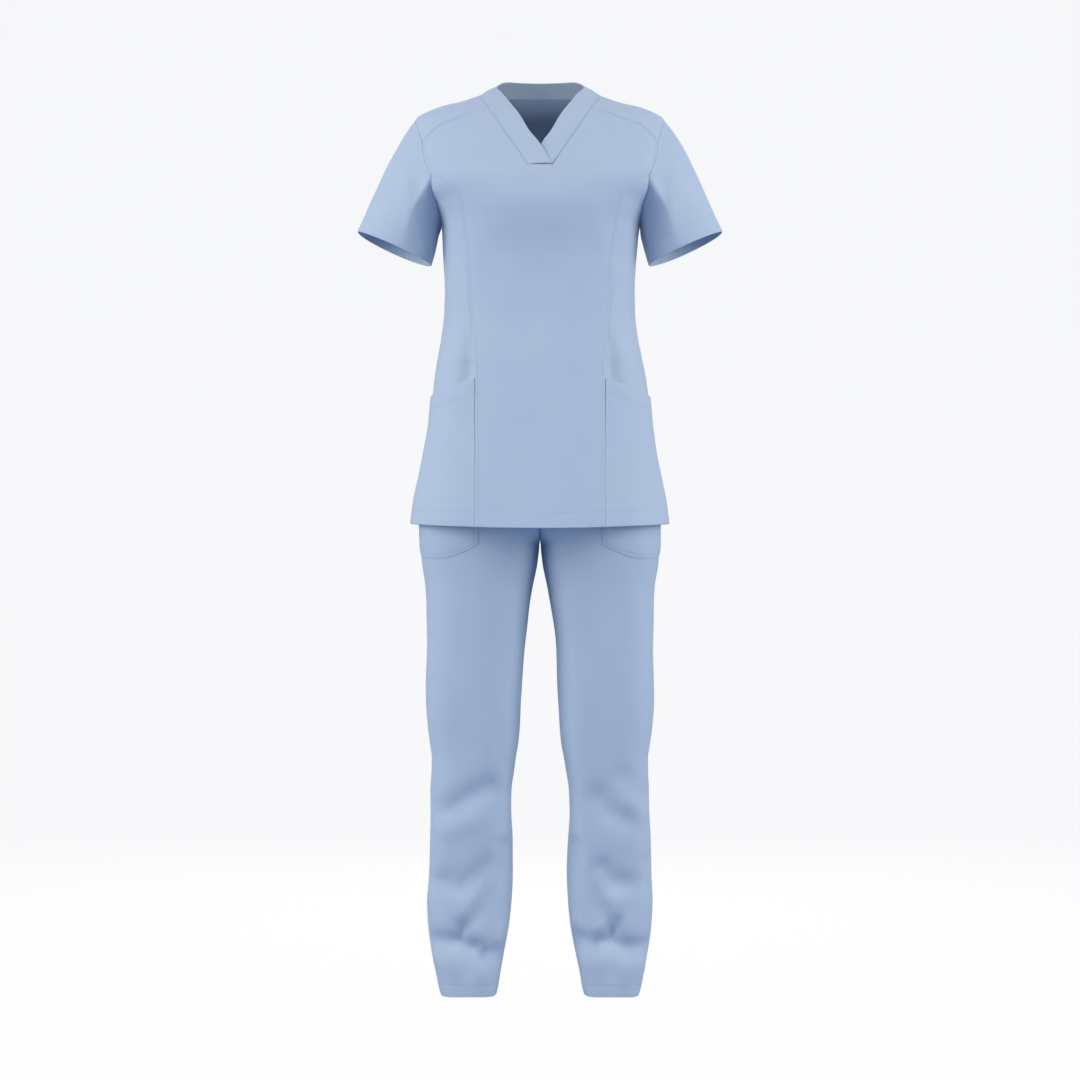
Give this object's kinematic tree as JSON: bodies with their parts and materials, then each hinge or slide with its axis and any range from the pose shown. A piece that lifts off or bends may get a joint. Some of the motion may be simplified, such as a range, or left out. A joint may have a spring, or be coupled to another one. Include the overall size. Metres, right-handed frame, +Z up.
{
  "type": "women's medical scrubs set, V-neck tunic top and straight trousers",
  "caption": "Pale blue scrubs set in its hollow worn form: V-neck tunic with short sleeves and hip pockets over straight trousers.",
  "frame": {"origin": "middle of the neck opening, level with the shoulders, where the wearer holds the garment up", "axes": "+Z up, the front faces -Y, the wearer's left is at +X"},
  "size_m": [0.585, 0.2916, 1.4739],
  "materials": {
    "tunic_cloth": "fine matt twill in pale blue",
    "trouser_cloth": "fine matt twill in pale blue"
  },
  "bodies": {
    "root": {"tunic_front_centre": "tunic_cloth", "tunic_front_side_left": "tunic_cloth", "tunic_front_side_right": "tunic_cloth", "tunic_front_yoke_left": "tunic_cloth", "tunic_front_yoke_right": "tunic_cloth", "tunic_back": "tunic_cloth", "tunic_sleeve_left": "tunic_cloth", "tunic_sleeve_right": "tunic_cloth", "tunic_hip_pocket_left": "tunic_cloth", "tunic_hip_pocket_right": "tunic_cloth", "tunic_neck_band": "tunic_cloth", "trousers_front_left": "trouser_cloth", "trousers_back_left": "trouser_cloth", "trousers_pocket_left": "trouser_cloth", "trousers_front_right": "trouser_cloth", "trousers_back_right": "trouser_cloth", "trousers_pocket_right": "trouser_cloth", "trousers_waistband": "trouser_cloth"}
  },
  "joints": []
}
